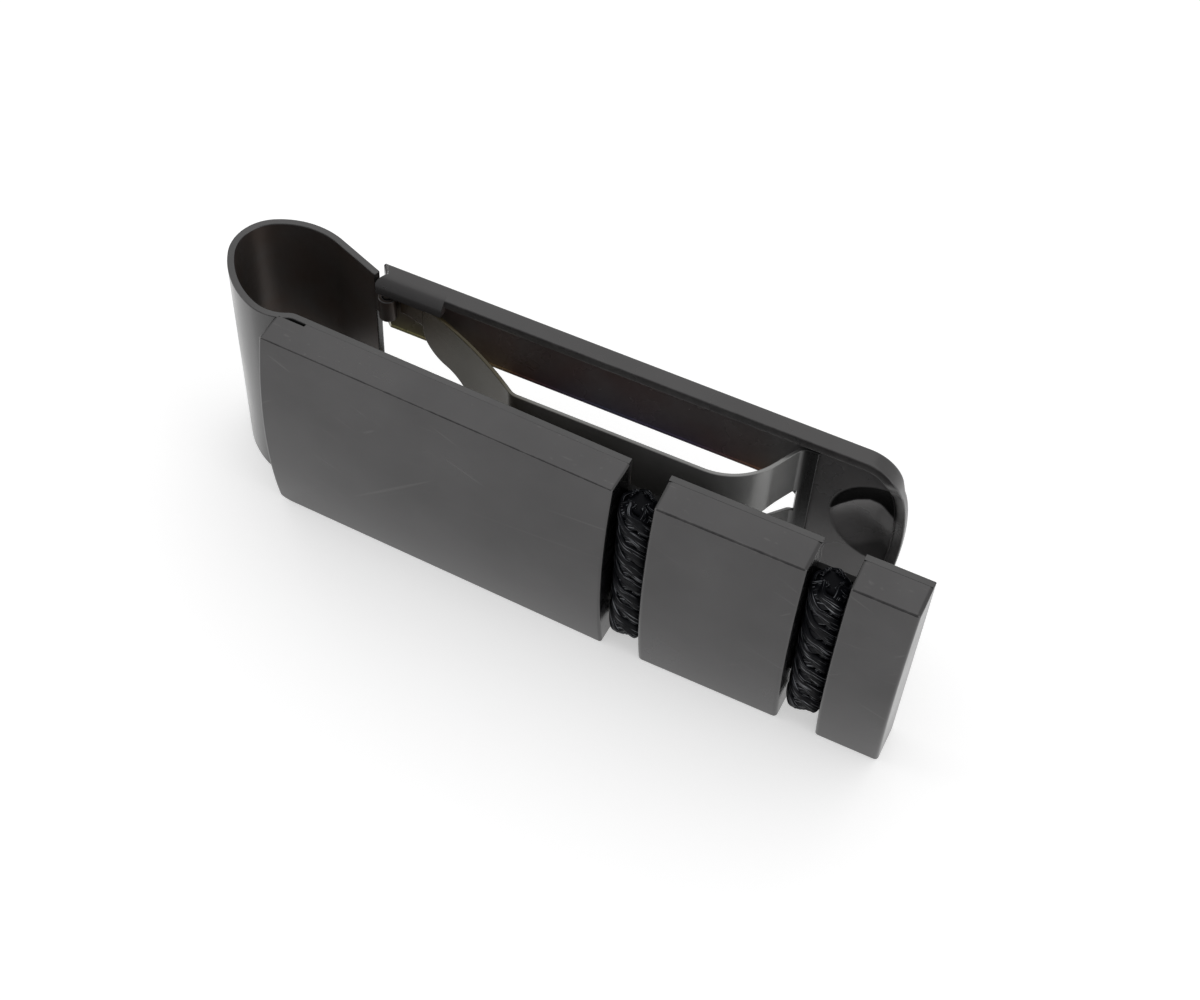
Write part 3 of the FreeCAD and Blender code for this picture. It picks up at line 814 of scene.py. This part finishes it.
# %% Leaf spring
leaf_thick, leaf_wide, leaf_bow = 0.30, 16.8, 5.1
low_turn, high_turn, right_turn = math.radians(14.0), math.radians(34.0), math.radians(62.0)
right_knee, foot, bridge = 33.6, 0.65, 1.15
tongue_root, tongue_tip = 5.6, 2.0
tail_start, tail_flat, shoulder = 0.8, 0.35, 3.0
low_r, left_bow_r, bow_r, foot_r = 1.6, 1.2, 5.0, 1.0
bends_drop = low_r * (1 - math.cos(low_turn)) + left_bow_r * (1 - math.cos(high_turn))
ramp_r = (leaf_bow - bends_drop) / (math.cos(low_turn) - math.cos(high_turn))
bow_start = (tail_start + tail_flat + low_r * math.sin(low_turn)
             + ramp_r * (math.sin(high_turn) - math.sin(low_turn))
             + left_bow_r * math.sin(high_turn))
half_turn = math.tan(right_turn / 2)
bow_end = right_knee - leaf_bow / math.tan(right_turn) - bow_r * half_turn
leaf_moves = [("flat", tail_flat, 0.0), ("bend", low_r, 14.0), ("bend", ramp_r, 20.0),
              ("bend", left_bow_r, -34.0), ("flat", bow_end - bow_start, 0.0),
              ("bend", bow_r, -62.0),
              ("flat", leaf_bow / math.sin(right_turn) - (bow_r + foot_r) * half_turn, 0.0),
              ("bend", foot_r, 62.0), ("flat", foot, 0.0)]
rail_line = plate_face - 0.03 - leaf_thick / 2
leaf_at, leaf_ends = line_of((tail_start, rail_line), 0.0, leaf_moves)
fine_s = np.linspace(0, leaf_ends[-1], 4000)
fine_u = leaf_at(fine_s)[0]


def leaf_place(u):
    """Distance along the leaf at which it has come to u along the arm."""
    return float(np.interp(u, fine_u, fine_s))


left_notch, right_notch, notch, shoulder_r = 8.6, 31.6, 7.0, 2.3
leaf_low, leaf_high = middle - leaf_wide / 2, middle + leaf_wide / 2


def prong_side(s, bottom, side, notch_r):
    """Inner height of an upper prong: the notch's side, then its round corner, where the side
    comes in by r - sqrt(r^2 - d^2) as d runs from 0 to r. The shoulder rounds the same way."""
    u = leaf_at(s)[0]
    d = np.clip(side * (u - bottom) + notch_r, 0, notch_r - 0.001)
    z = middle + notch / 2 - (notch_r - np.sqrt(notch_r ** 2 - d ** 2))
    if side > 0:
        d = np.clip(shoulder + shoulder_r - u, 0, shoulder_r - 0.001)
        z = z + shoulder_r - np.sqrt(shoulder_r ** 2 - d ** 2)
    return z


left_bottom, right_bottom = leaf_place(left_notch), leaf_place(right_notch)
bridge_from = leaf_ends[-1] - bridge
tail_to = leaf_place(shoulder)


def lowered(s_function):
    """The same side for the lower prong, mirrored about mid height."""
    return lambda s: width - s_function(s)


def leaf_strip(start, end, low, high, rounds=(False, False)):
    """A strip on the leaf's line, set in the arm."""
    return strip_shell(leaf_at, start, end, leaf_thick, low, high, edge=0.07, rounds=rounds,
                       place=on_hinge, inside_side=-1)


leaf_shells = []
tail_wide = 2.3
prongs = [(0.0, tail_to, lambda s: np.full_like(s, leaf_high - tail_wide), (True, False)),
          (tail_to, left_bottom, lambda s: prong_side(s, left_notch, 1, 3.2), (True, False)),
          (right_bottom, bridge_from, lambda s: prong_side(s, right_notch, -1, 1.2),
           (False, False))]
for start, end, side, rounds in prongs:
    leaf_shells.append(leaf_strip(start, end, side, leaf_high, rounds))
    leaf_shells.append(leaf_strip(start, end, leaf_low, lowered(side), rounds))
leaf_shells.append(leaf_strip(left_bottom, right_bottom, leaf_low, leaf_high))
leaf_shells.append(leaf_strip(bridge_from, leaf_ends[-1], leaf_low, leaf_high, (False, True)))
hole_u = [right_notch, right_knee + foot_r * half_turn + foot - bridge]


def tongue_top(s):
    """Upper side of the tongue: it narrows evenly from the root to the tip."""
    return middle + np.interp(leaf_at(s)[0], hole_u, [tongue_root / 2, tongue_tip / 2])


leaf_shells.append(leaf_strip(right_bottom, bridge_from, lowered(tongue_top), tongue_top))
leaf = piece("leaf_spring_strip", leaf_shells, "arm", ["leaf_spring"])
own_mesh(leaf)

# %% [markdown]
# ## Hinge pins
# Two short lengths of drawn wire hold the arm to the band's eyes. Each is a stack of round
# rings whose radius is r sin t towards both ends, so the ends are slightly domed.


# %% Hinge pins
def pin_shell(low, high, radius=0.35, dome=0.12):
    """Round rings up the hinge line; the last few draw in over the dome."""
    t = np.linspace(0.15, math.pi / 2, 5)
    z = np.r_[low + dome * (1 - np.sin(t)), np.linspace(low + dome + 0.05, high - dome - 0.05, 8),
              (high - dome * (1 - np.sin(t)))[::-1]]
    r = radius * np.r_[1 - 0.35 * np.cos(t), np.ones(8), (1 - 0.35 * np.cos(t))[::-1]]
    turns = np.linspace(0, 2 * math.pi, 32, endpoint=False)
    rings = np.stack([hinge[0] + r[:, None] * np.cos(turns),
                      hinge[1] + r[:, None] * np.sin(turns), np.repeat(z[:, None], 32, 1)], -1)
    return shell(rings, edge=np.r_[np.ones(5), np.zeros(8), np.ones(5)][:, None])


pin_base = pin_low.z / mm
pin_top = pin_high.z / mm
upper_pin = piece("upper_pin_wire", [pin_shell(pin_base, pin_top)], "arm",
                  ["upper_hinge_pin"])
lower_pin = piece("lower_pin_wire", [pin_shell(width - pin_top, width - pin_base)], "arm",
                  ["lower_hinge_pin"])

# %% [markdown]
# ## Braided cords
# Each groove holds a short length of black leather braid, wound on the band's narrow neck. A
# tubular braid has two families of strands that climb round a core in opposite senses, each
# going over one strand and under the next. Every strand is a flat thong, so it is a small
# oval carried along its own climbing line on a flattened tube.


# %% Braided cords
def tube_point(turn, half_x, half_y, power=3.0):
    """Flattened tube: x = a sgn(cos t) |cos t|^(2/n), y = b sgn(sin t) |sin t|^(2/n)."""
    c, s = np.cos(turn), np.sin(turn)
    return (half_x * np.sign(c) * np.abs(c) ** (2 / power),
            half_y * np.sign(s) * np.abs(s) ** (2 / power))


def strand_shell(centre_x, centre_y, low, high, start, sense, rng, half, wave_by, pitch=7.6):
    """One thong. Its line turns 2 pi z / pitch about the core, and goes over and under by
    d cos 4t, with the other family half a wave away. Its section is an oval across the line."""
    z = np.linspace(low, high, 190)
    turn = start + sense * 2 * math.pi * (z - low) / pitch
    wave = wave_by * np.cos(4 * turn)
    tuck = 1 - 0.42 * (1 - soft_step(0, 0.9, z - low)) - 0.42 * (1 - soft_step(0, 0.9, high - z))
    hx, hy = (half[0] + wave) * tuck, (half[1] + wave) * tuck
    x, y = tube_point(turn, hx, hy)
    y = y + 0.30 * (1 - tuck)
    line = np.stack([x, y, z], -1)
    ahead = np.gradient(line, axis=0)
    ahead /= np.linalg.norm(ahead, axis=1, keepdims=True)
    out = np.stack([x / (half[0] ** 2), (y - 0.30 * (1 - tuck)) / (half[1] ** 2),
                    np.zeros_like(x)], -1)
    out -= ahead * (out * ahead).sum(1, keepdims=True)
    out /= np.linalg.norm(out, axis=1, keepdims=True)
    side = np.cross(ahead, out)
    around = np.linspace(0, 2 * math.pi, 16, endpoint=False)
    wide = 0.60 * tuck * (1 + 0.05 * rng.standard_normal())
    thick = 0.17 * tuck
    across = np.sign(np.cos(around)) * np.abs(np.cos(around)) ** 0.8
    rings = (line[:, None] + side[:, None] * (wide[:, None] * across)[..., None]
             + out[:, None] * (thick[:, None] * np.sin(around))[..., None])
    run = np.concatenate([[0.0], np.cumsum(np.linalg.norm(np.diff(line, axis=0), axis=1))])
    offset = rng.uniform(0, 40)
    fibre = np.stack([np.repeat(run[:, None], 16, 1) + offset,
                      np.broadcast_to(np.cos(around), rings.shape[:2]) * 0.63,
                      np.broadcast_to(np.sin(around), rings.shape[:2]) * 0.10 + offset], -1)
    rings = rings + np.array([centre_x, centre_y, 0.0])
    return shell(rings, fibre=fibre)


def core_shell(centre_x, centre_y, low, high):
    """The braid's dark core, a rounded bar that closes the gaps between strands."""
    z, inset = eased_ends(low, high, 0.3, np.linspace(low, high, 20))
    ring = rounded_rings(inset - 1.05, 1.05 - inset, inset - 0.95, 0.95 - inset,
                         np.maximum(0.38 - inset, 0.02))[0]
    rings = np.stack([ring[..., 0] + centre_x, ring[..., 1] + centre_y,
                      np.repeat(z[:, None], ring.shape[1], 1)], -1)
    return shell(rings)


def braid(name, left, stands_for, place, seed):
    """Eight strands on a core, standing between the covers."""
    rng = np.random.default_rng(seed)
    cx, cy = left + groove / 2, 1.35
    low, high = 1.6, width - 1.6
    shells = [core_shell(cx, cy, low + 0.3, high - 0.3)]
    for sense, half, wave_by in ((-1, (1.25, 1.14), 0.03), (1, (1.15, 1.03), 0.05)):
        for k in range(4):
            shells.append(strand_shell(cx, cy, low, high, 0.35 + k * math.pi / 2, sense, rng,
                                       half, wave_by))
    for s in shells:
        s["rings"] = place(s["rings"])
    return piece(name, shells, "front_bar", [stands_for], crease=60)


left_cord = braid("left_braided_cord", long_length, "left_cord_inlay", lambda p: p, 3)
right_cord = braid("right_braided_cord", middle_end, "right_cord_inlay", on_bar_end, 8)

# %% [markdown]
# ## Finishes
# All the steel is plated black, a thin hard skin that is neither paint nor plain metal: it
# mirrors its surroundings, but only about a tenth of the light. Effects that several finishes
# share are node groups: fine grain from polishing, worn edges, hairline scratches, and the
# straw, purple and blue tints that heat leaves where the plating is thin.


# %% Shared effects
def start_group(name, inputs, outputs):
    """An empty node group with named float, vector or colour sockets."""
    tree = bpy.data.node_groups.new(name, "ShaderNodeTree")
    for key, kind, value in inputs:
        socket = tree.interface.new_socket(name=key, in_out="INPUT", socket_type=kind)
        if value is not None:
            socket.default_value = value
    for key, kind in outputs:
        tree.interface.new_socket(name=key, in_out="OUTPUT", socket_type=kind)
    return tree, tree.nodes.new("NodeGroupInput"), tree.nodes.new("NodeGroupOutput")


FLOAT, VECTOR, COLOUR = "NodeSocketFloat", "NodeSocketVector", "NodeSocketColor"


def noise(tree, vector, scale, detail=3.0, rough=0.55):
    """Noise between 0 and 1."""
    made = node(tree, "ShaderNodeTexNoise", {"Vector": vector, "Scale": scale, "Detail": detail,
                                             "Roughness": rough})
    return made.outputs["Fac"]


def stretched(tree, vector, scale):
    """The same place with each axis scaled."""
    return node(tree, "ShaderNodeMapping", {"Vector": vector, "Scale": scale}).outputs["Vector"]


def between(tree, value, low, high, to_low=0.0, to_high=1.0):
    """Carry low..high to to_low..to_high, and hold it there."""
    made = node(tree, "ShaderNodeMapRange", {"Value": value, "From Min": low, "From Max": high,
                                             "To Min": to_low, "To Max": to_high})
    return made.outputs["Result"]


grain, gin, gout = start_group("polishing_grain", [("Length", VECTOR, (60, 60, 900)),
                                                   ("Cloud", FLOAT, 120.0)],
                               [("Height", FLOAT), ("Tone", FLOAT), ("Blur", FLOAT)])
place = object_place(grain)
lines = node(grain, "ShaderNodeVectorMath", {0: place, 1: gin.outputs["Length"]},
             operation="MULTIPLY").outputs[0]
brushed = noise(grain, lines, 6.0, 4.0, 0.6)
cloud = noise(grain, place, gin.outputs["Cloud"], 4.0, 0.55)
fine = noise(grain, place, 5200.0, 2.0, 0.6)
height = math_node(grain, "MULTIPLY_ADD", fine, 0.35, brushed)
grain.links.new(height, gout.inputs["Height"])
grain.links.new(between(grain, cloud, 0.3, 0.7, 0.90, 1.10), gout.inputs["Tone"])
grain.links.new(between(grain, cloud, 0.25, 0.75), gout.inputs["Blur"])

wear, gin, gout = start_group("edge_wear", [("Amount", FLOAT, 1.0)], [("Mask", FLOAT)])
edge = mark_of(wear, "edge")
place = object_place(wear)
broken = between(wear, noise(wear, place, 900.0, 4.0, 0.7), 0.42, 0.68)
mask = math_node(wear, "MULTIPLY", between(wear, edge, 0.3, 1.0), broken)
wear.links.new(math_node(wear, "MULTIPLY", mask, gin.outputs["Amount"], clamp=True),
               gout.inputs["Mask"])

hairs, gin, gout = start_group("hairline_scratches", [("Amount", FLOAT, 1.0)],
                               [("Mask", FLOAT)])
place = object_place(hairs)
masks = []
for k, (bend_by, long) in enumerate(((0.12, 40.0), (-0.35, 90.0), (0.75, 60.0))):
    tilt = node(hairs, "ShaderNodeMapping", {"Vector": place, "Rotation": (0, bend_by, 0),
                                             "Location": (0.013 * k, 0.007, 0.02 * k)})
    drawn = stretched(hairs, tilt.outputs["Vector"], (long, 3400.0, 3400.0))
    masks.append(between(hairs, noise(hairs, drawn, 1.0, 1.0, 0.4), 0.74, 0.80))
both = math_node(hairs, "MAXIMUM", math_node(hairs, "MAXIMUM", masks[0], masks[1]), masks[2])
hairs.links.new(math_node(hairs, "MULTIPLY", both, gin.outputs["Amount"], clamp=True),
                gout.inputs["Mask"])

tint, gin, gout = start_group("heat_tint", [("Place", FLOAT, 0.5), ("Spread", FLOAT, 0.3)],
                              [("Colour", COLOUR), ("Mask", FLOAT)])
place = object_place(tint)
wander = between(tint, noise(tint, place, 170.0, 3.0, 0.6), 0.3, 0.7, -0.5, 0.5)
at = math_node(tint, "MULTIPLY_ADD", wander, gin.outputs["Spread"], gin.outputs["Place"])
colour = ramp(tint, at, [(0.0, (0.85, 0.80, 0.36)), (0.14, (0.75, 0.55, 0.25)),
                         (0.27, (0.42, 0.20, 0.12)), (0.38, (0.22, 0.12, 0.18)),
                         (0.50, (0.14, 0.14, 0.24)), (0.64, (0.14, 0.11, 0.22)),
                         (0.80, (0.24, 0.13, 0.16)), (0.92, (0.40, 0.18, 0.10)),
                         (1.0, (0.50, 0.34, 0.12))])
tint.links.new(colour, gout.inputs["Colour"])
tint.links.new(between(tint, noise(tint, place, 260.0, 2.0, 0.5), 0.35, 0.65),
               gout.inputs["Mask"])
print("groups:", [g.name for g in bpy.data.node_groups])


# %% Plated steels
def group_node(tree, group, **values):
    """Place a shared effect with its own values."""
    return node(tree, "ShaderNodeGroup", values, node_tree=group)


def plated(name, colour, bare, rough, grain_length=(60, 60, 900), cloud=120.0, wear_by=0.5,
           hair_by=0.12, bump=0.02, metal=1.0, inner=1.0, along=None, tint_place=None,
           tint_by=0.5, brown=(0.1, 0.07, 0.06), rim_by=0.0, inner_blur=0.0):
    """Black plated steel. The skin's colour is clouded a little, may change along X, turns to
    bare steel on worn edges and in hairlines, is scaled by inner on its inner side as painted
    light, goes nearly black where the shade mark lies as painted shade, and may be tinted by
    heat on the inner side and round the window, with a thin pale line there that is a painted
    highlight."""
    made, tree, out = start_material(name)
    shader = node(tree, "ShaderNodeBsdfPrincipled")
    g = group_node(tree, grain, Length=grain_length, Cloud=cloud)
    w = group_node(tree, wear, Amount=wear_by)
    h = group_node(tree, hairs, Amount=hair_by)
    inside = mark_of(tree, "inside")
    shade = mark_of(tree, "shade")
    place = object_place(tree)
    x = node(tree, "ShaderNodeSeparateXYZ", {0: place}).outputs["X"]
    if along:
        colour = ramp(tree, between(tree, x, -0.018, 0.018), along)
    # Inner faces are scaled by inner: painted light where it is above 1.
    painted_light_shade_and_tone = between(tree, inside, 0.0, 1.0, 1.0, inner)
    # The shade mark darkens the skin almost to black: painted shade. It also makes it fully metal
    # and rougher.
    painted_light_shade_and_tone = math_node(tree, "MULTIPLY", painted_light_shade_and_tone, between(tree, shade, 0.0, 1.0, 1.0, 0.04))
    painted_light_shade_and_tone = math_node(tree, "MULTIPLY", painted_light_shade_and_tone, g.outputs["Tone"])
    tone = scaled(tree, colour, painted_light_shade_and_tone)
    skin = mixed(tree, math_node(tree, "MAXIMUM", w.outputs[0], h.outputs[0]), tone, (*bare, 1))
    metallic = between(tree, shade, 0.0, 1.0, metal, 1.0)
    if tint_place:
        t = group_node(tree, tint, Place=between(tree, x, tint_place[0], tint_place[1]),
                       Spread=0.16)
        edge = mark_of(tree, "edge")
        share = math_node(tree, "MULTIPLY", between(tree, t.outputs["Mask"], 0, 1, 0.4, 1), inside)
        share = math_node(tree, "MULTIPLY", share, between(tree, edge, 0.0, 0.5, tint_by, 0.0))
        share = math_node(tree, "MULTIPLY", share, between(tree, x, 0.010, 0.0140, 1.0, 0.0))
        skin = mixed(tree, share, skin, (*brown, 1))
        # Rim mark: up to 0.5 it mixes in a dark heat tint; its thin line at full mark mixes in the
        # full tint colour, a painted highlight.
        rim = mark_of(tree, "rim")
        rim = math_node(tree, "MULTIPLY", rim, between(tree, x, 0.0135, 0.0155, 1.0, 0.0))
        dark = scaled(tree, t.outputs["Colour"], 0.45)
        skin = mixed(tree, between(tree, rim, 0.0, 0.5, 0.0, rim_by), skin, dark)
        skin = mixed(tree, between(tree, rim, 0.55, 0.9, 0.0, rim_by), skin, t.outputs["Colour"])
    tree.links.new(skin, shader.inputs["Base Color"])
    tree.links.new(metallic, shader.inputs["Metallic"])
    blur = between(tree, g.outputs["Blur"], 0.0, 1.0, rough - 0.04, rough + 0.05)
    blur = math_node(tree, "ADD", blur, math_node(tree, "MULTIPLY", h.outputs[0], 0.15))
    blur = math_node(tree, "ADD", blur, between(tree, inside, 0.0, 1.0, 0.0, inner_blur))
    blur = math_node(tree, "ADD", blur, between(tree, shade, 0.0, 1.0, 0.0, 0.6))
    tree.links.new(blur, shader.inputs["Roughness"])
    dents = node(tree, "ShaderNodeBump", {"Strength": bump, "Distance": 0.0002,
                                          "Height": g.outputs["Height"]})
    tree.links.new(dents.outputs[0], shader.inputs["Normal"])
    tree.links.new(shader.outputs[0], out.inputs["Surface"])
    return made


cover_steel = plated("cover_steel", (0.080, 0.0785, 0.079), (0.22, 0.215, 0.21), 0.24,
                     wear_by=0.35)
# inner=1.35 lightens the band's inner faces: painted light.
band_steel = plated("band_steel", (0.076, 0.075, 0.075), (0.20, 0.195, 0.19), 0.20, cloud=150.0,
                    wear_by=0.2, metal=0.7, inner=1.35, tint_place=(-0.034, -0.012), tint_by=0.75,
                    brown=(0.092, 0.064, 0.050), inner_blur=0.16)
# inner=2.2 lightens the arm's inner faces: painted light.
arm_steel = plated("arm_steel", (0.058, 0.056, 0.056), (0.18, 0.175, 0.17), 0.27, cloud=150.0,
                   wear_by=0.25, hair_by=0.04, metal=0.30, inner=2.2, tint_place=(-0.0165, 0.0165),
                   tint_by=0.85, brown=(0.108, 0.070, 0.066), rim_by=0.9)
# Along X the leaf runs from olive at its left end to lighter grey in the middle; the near-black
# last stretch is painted shade on the bridge and foot at its right end.
leaf_steel = plated("leaf_steel", (0.1, 0.1, 0.1), (0.30, 0.29, 0.27), 0.22, cloud=200.0,
                    wear_by=0.06, hair_by=0.04, bump=0.008, metal=0.35,
                    along=[(0.0, (0.085, 0.060, 0.040)), (0.13, (0.080, 0.062, 0.035)),
                           (0.22, (0.042, 0.034, 0.012)), (0.34, (0.054, 0.045, 0.024)),
                           (0.44, (0.17, 0.168, 0.160)), (0.72, (0.17, 0.169, 0.165)),
                           (0.84, (0.23, 0.23, 0.225)), (0.93, (0.22, 0.22, 0.215)),
                           (0.965, (0.030, 0.030, 0.030)), (1.0, (0.03, 0.03, 0.03))])
pin_steel = plated("pin_steel", (0.25, 0.25, 0.25), (0.5, 0.5, 0.5), 0.25, wear_by=0.3)
for made, finish in (*((cover, cover_steel) for cover in covers), (spring_band, band_steel),
                     (spring_arm, arm_steel), (leaf, leaf_steel),
                     (upper_pin, pin_steel), (lower_pin, pin_steel)):
    made.data.materials.append(finish)
print("plated finishes on the steel pieces")

# %% [markdown]
# ## Waxed leather
# The thongs are black dyed leather, waxed and drawn tight, so fine fibres run along each one.
# The fibre marks hold the distance along the strand and the place around it, and noise that is
# stretched along the strand gives its fibres. Their glints are painted highlights: thin streaks
# of the base colour turn pale grey, and the coat follows the same streaks.

# %% Waxed leather
cord_leather, tree, out = start_material("cord_leather")
shader = node(tree, "ShaderNodeBsdfPrincipled", {"Roughness": 0.45, "Coat Roughness": 0.16,
                                                 "Specular IOR Level": 0.05})
fibre = mark_of(tree, "fibre", "Vector")
threads = noise(tree, stretched(tree, fibre, (0.25, 8.0, 8.0)), 1.0, 3.0, 0.6)
glints = between(tree, noise(tree, stretched(tree, fibre, (0.50, 12.0, 12.0)), 1.0, 1.0, 0.5),
                 0.60, 0.68)
creases = noise(tree, stretched(tree, fibre, (3.0, 3.0, 3.0)), 1.0, 3.0, 0.6)
dye_and_painted_glints = mixed(tree, between(tree, creases, 0.3, 0.7), (0.002, 0.0022, 0.003, 1),
            (0.006, 0.0065, 0.009, 1))
# Painted highlights: the glint streaks turn the base colour pale grey.
dye_and_painted_glints = mixed(tree, glints, dye_and_painted_glints, (0.26, 0.27, 0.29, 1))
tree.links.new(math_node(tree, "MULTIPLY", glints, 0.6), shader.inputs["Coat Weight"])
tree.links.new(dye_and_painted_glints, shader.inputs["Base Color"])
tree.links.new(between(tree, threads, 0.3, 0.7, 0.28, 0.55), shader.inputs["Roughness"])
height = math_node(tree, "MULTIPLY_ADD", glints, 0.5, threads)
bumps = node(tree, "ShaderNodeBump", {"Strength": 0.7, "Distance": 0.00006, "Height": height})
tree.links.new(bumps.outputs[0], shader.inputs["Normal"])
tree.links.new(shader.outputs[0], out.inputs["Surface"])
for made in (left_cord, right_cord):
    made.data.materials.append(cord_leather)
print("waxed leather on both cords")
